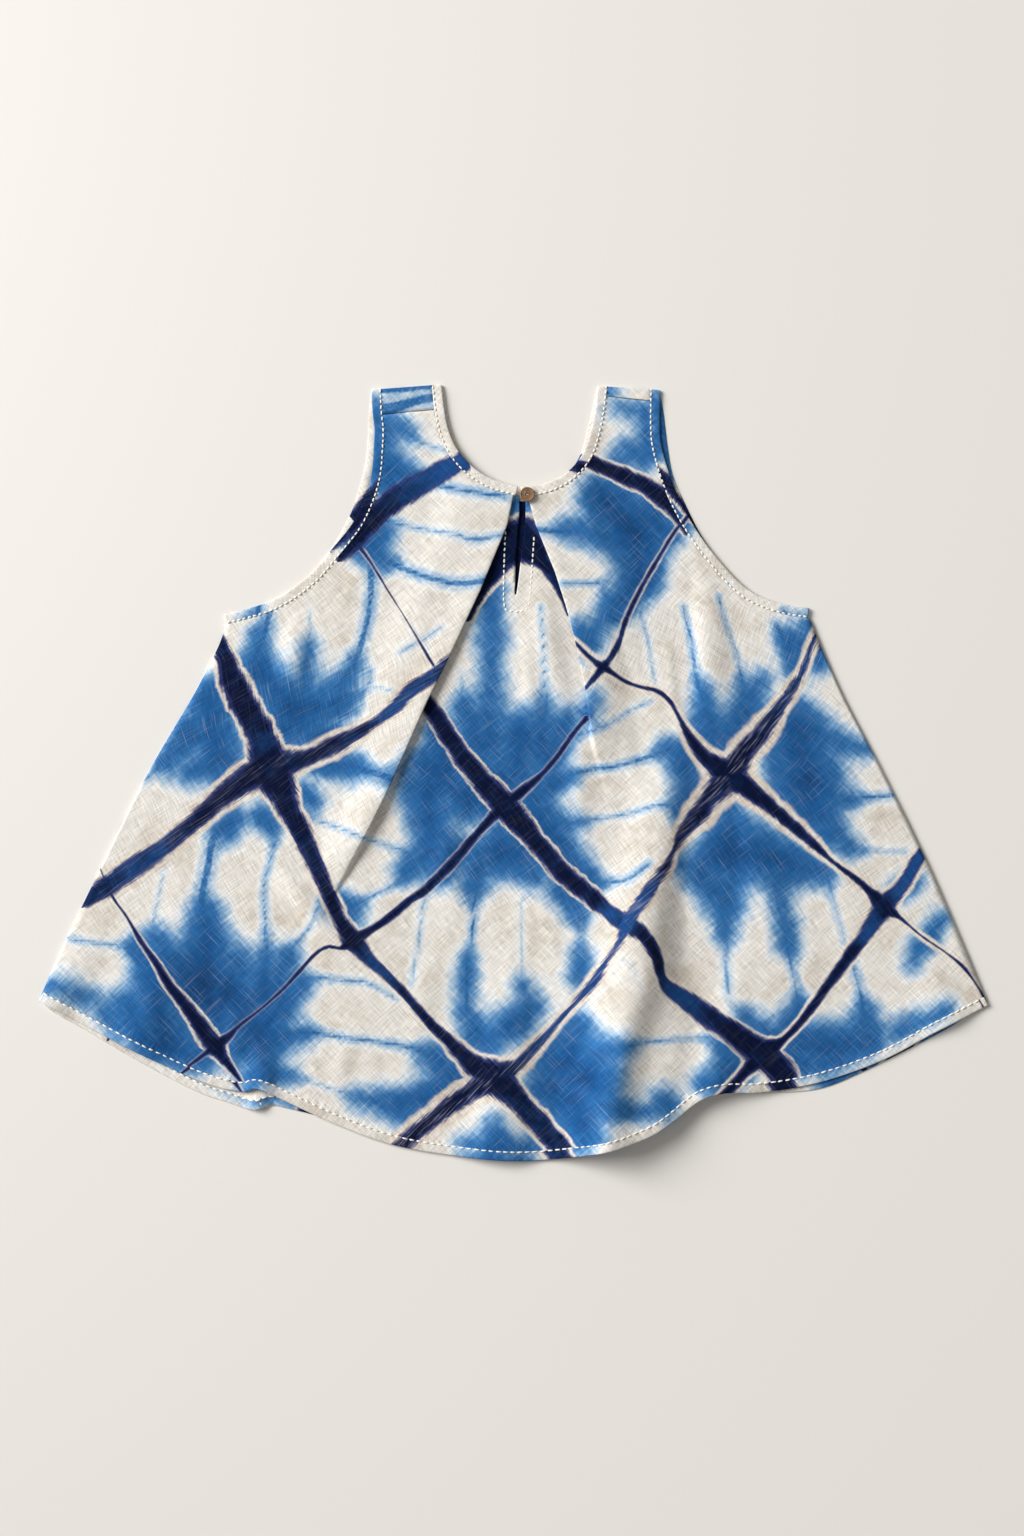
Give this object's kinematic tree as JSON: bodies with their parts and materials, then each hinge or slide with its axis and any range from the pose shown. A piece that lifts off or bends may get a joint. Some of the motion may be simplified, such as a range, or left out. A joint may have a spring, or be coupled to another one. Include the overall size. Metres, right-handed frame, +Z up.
{
  "type": "tank top",
  "caption": "Loose tent-shaped sleeveless top in dip-dyed cotton, laid flat, with a box pleat, keyhole slit and button at the neck.",
  "frame": {"origin": "bottom centre of the bounding box, on the surface that the back lies on", "axes": "+X across the garment, to the right as it is seen from above; +Y from the hem to the neck; +Z up out of the front"},
  "size_m": [0.7962, 0.6516, 0.0269],
  "materials": {
    "dyed_cotton": "matte",
    "sewing_thread": "matte",
    "button_wood": "satin"
  },
  "bodies": {
    "root": {"front_panel": "dyed_cotton", "back_panel": "dyed_cotton", "neck_binding": "dyed_cotton", "armhole_binding_left": "dyed_cotton", "armhole_binding_right": "dyed_cotton", "button": "button_wood"}
  },
  "joints": []
}
